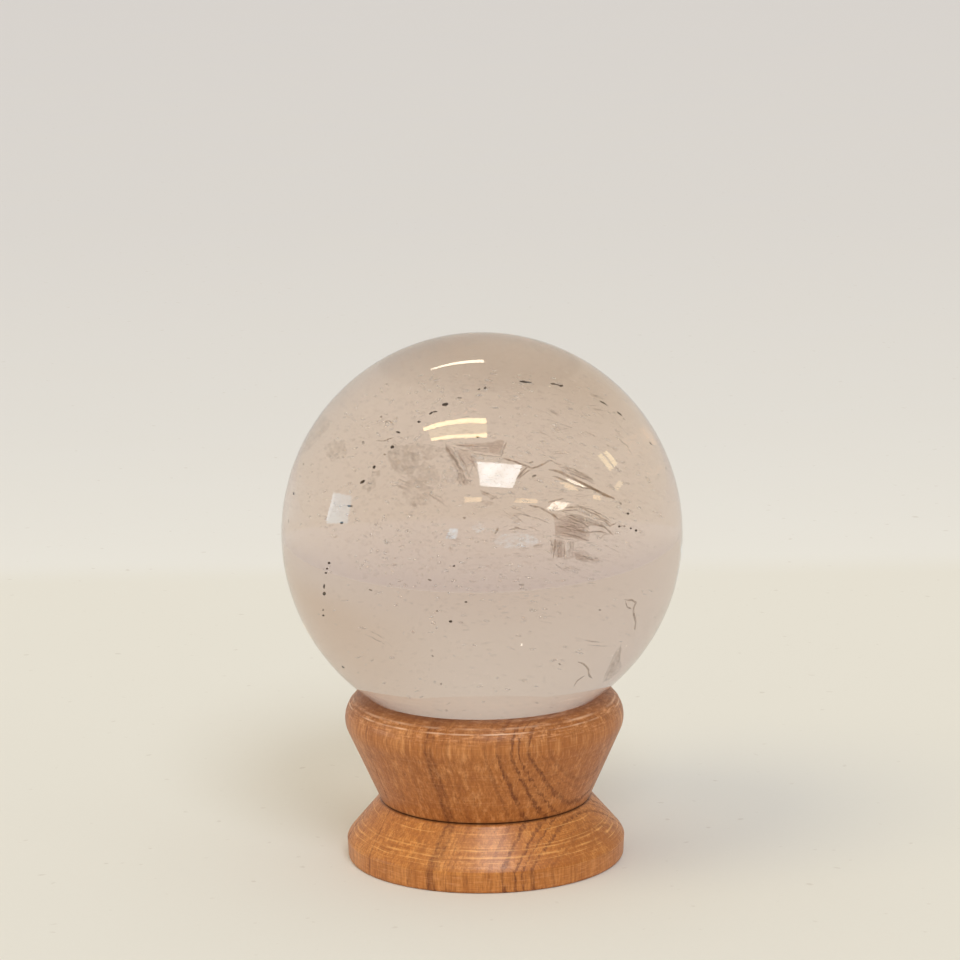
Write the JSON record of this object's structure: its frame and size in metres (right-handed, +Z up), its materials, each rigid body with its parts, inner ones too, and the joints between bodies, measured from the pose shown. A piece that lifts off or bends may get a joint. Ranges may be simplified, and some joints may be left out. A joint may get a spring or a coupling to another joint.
{
  "type": "quartz sphere",
  "caption": "Polished clear quartz sphere with natural veils and inclusions, resting in a turned one-piece wooden ring stand.",
  "frame": {"origin": "centre of the stand's flat underside, on the floor plane", "axes": "+Z up along the stand's turning axis and through the sphere's centre; -Y towards the viewer"},
  "size_m": [0.075, 0.075, 0.0996],
  "materials": {
    "quartz": "polished clear quartz with veils and dark inclusions",
    "wood": "satin oiled reddish-brown turned hardwood"
  },
  "bodies": {
    "root": {"quartz_sphere": "quartz", "wooden_stand": "wood"}
  },
  "joints": []
}
